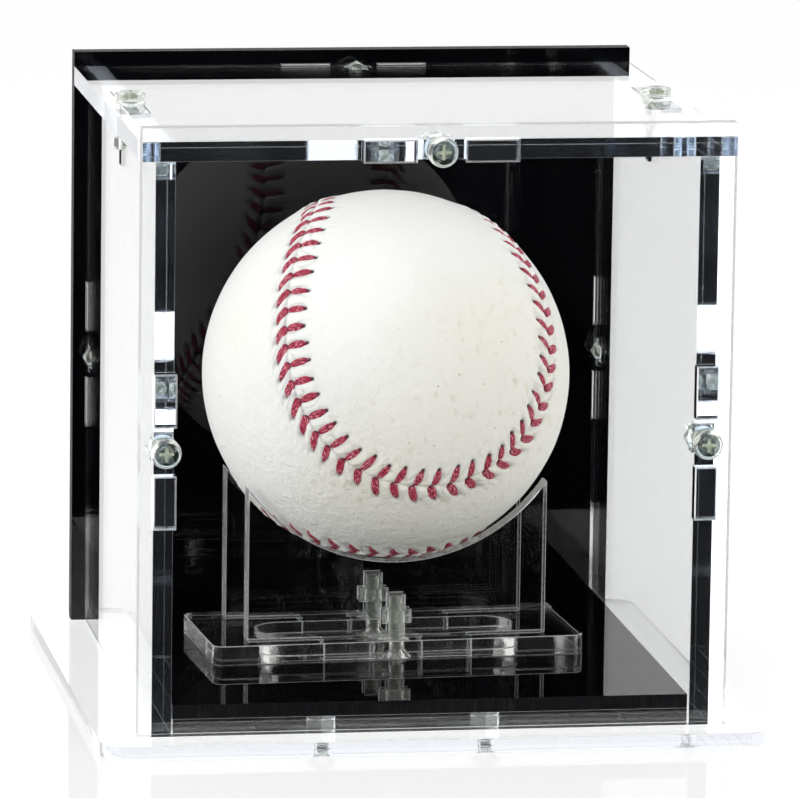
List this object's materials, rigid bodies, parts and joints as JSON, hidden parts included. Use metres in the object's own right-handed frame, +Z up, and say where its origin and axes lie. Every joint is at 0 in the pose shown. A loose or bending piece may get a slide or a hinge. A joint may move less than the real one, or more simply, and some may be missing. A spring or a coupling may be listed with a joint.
{
  "type": "baseball display case",
  "caption": "Clear acrylic display case with a black back and floor, a tab-jointed screwed cover that lifts off, and a loose cradle stand that carries a baseball.",
  "frame": {"origin": "middle of the base plate's underside", "axes": "+X to the right seen from the clear front, +Y from the front to the black back, +Z up"},
  "size_m": [0.1316, 0.1288, 0.1221],
  "materials": {
    "clear_acrylic": "clear cast acrylic sheet with polished faces and laser cut edges",
    "black_acrylic": "black cast acrylic sheet, mirror glossy",
    "clear_fasteners": "clear moulded plastic screws and nuts with a faint yellow green tint",
    "ball_leather": "off-white ball leather with fine creases and light scuffs",
    "ball_thread": "waxed red cotton thread",
    "ball_yarn": "wound grey wool yarn",
    "ball_rubber": "moulded rubber over cork"
  },
  "bodies": {
    "base": {"base_plate": "clear_acrylic", "plinth_plate": "clear_acrylic", "floor_panel": "black_acrylic", "base_left_screw": "clear_fasteners", "base_right_screw": "clear_fasteners", "base_left_nut": "clear_fasteners", "base_right_nut": "clear_fasteners"},
    "cover": {"front_panel": "clear_acrylic", "back_panel": "black_acrylic", "left_panel": "clear_acrylic", "right_panel": "clear_acrylic", "top_panel": "clear_acrylic", "front_top_screw": "clear_fasteners", "front_left_screw": "clear_fasteners", "front_right_screw": "clear_fasteners", "back_top_screw": "clear_fasteners", "back_left_screw": "clear_fasteners", "back_right_screw": "clear_fasteners", "top_left_screw": "clear_fasteners", "top_right_screw": "clear_fasteners", "front_top_nut": "clear_fasteners", "front_left_nut": "clear_fasteners", "front_right_nut": "clear_fasteners", "back_top_nut": "clear_fasteners", "back_left_nut": "clear_fasteners", "back_right_nut": "clear_fasteners", "top_left_nut": "clear_fasteners", "top_right_nut": "clear_fasteners"},
    "stand": {"stand_base": "clear_acrylic", "front_cradle": "clear_acrylic", "rear_cradle": "clear_acrylic", "stand_front_screw": "clear_fasteners", "stand_rear_screw": "clear_fasteners", "stand_front_nut": "clear_fasteners", "stand_rear_nut": "clear_fasteners"},
    "ball": {"ball_pill": "ball_rubber", "ball_winding": "ball_yarn", "leather_panel_front": "ball_leather", "leather_panel_rear": "ball_leather", "seam_stitching": "ball_thread"}
  },
  "joints": [
    {"name": "cover_lift", "type": "slide", "parent": "base", "child": "cover", "axis": [0, 0, 1], "range_m": [0, 0.13]},
    {"name": "stand_turn", "type": "hinge", "parent": "base", "child": "stand", "pos_m": [-0.0012, 0.0006, 0.0084], "axis": [0, 0, 1], "continuous": true},
    {"name": "ball_lift", "type": "slide", "parent": "stand", "child": "ball", "axis": [0, 0, 1], "range_m": [0, 0.0135]}
  ]
}
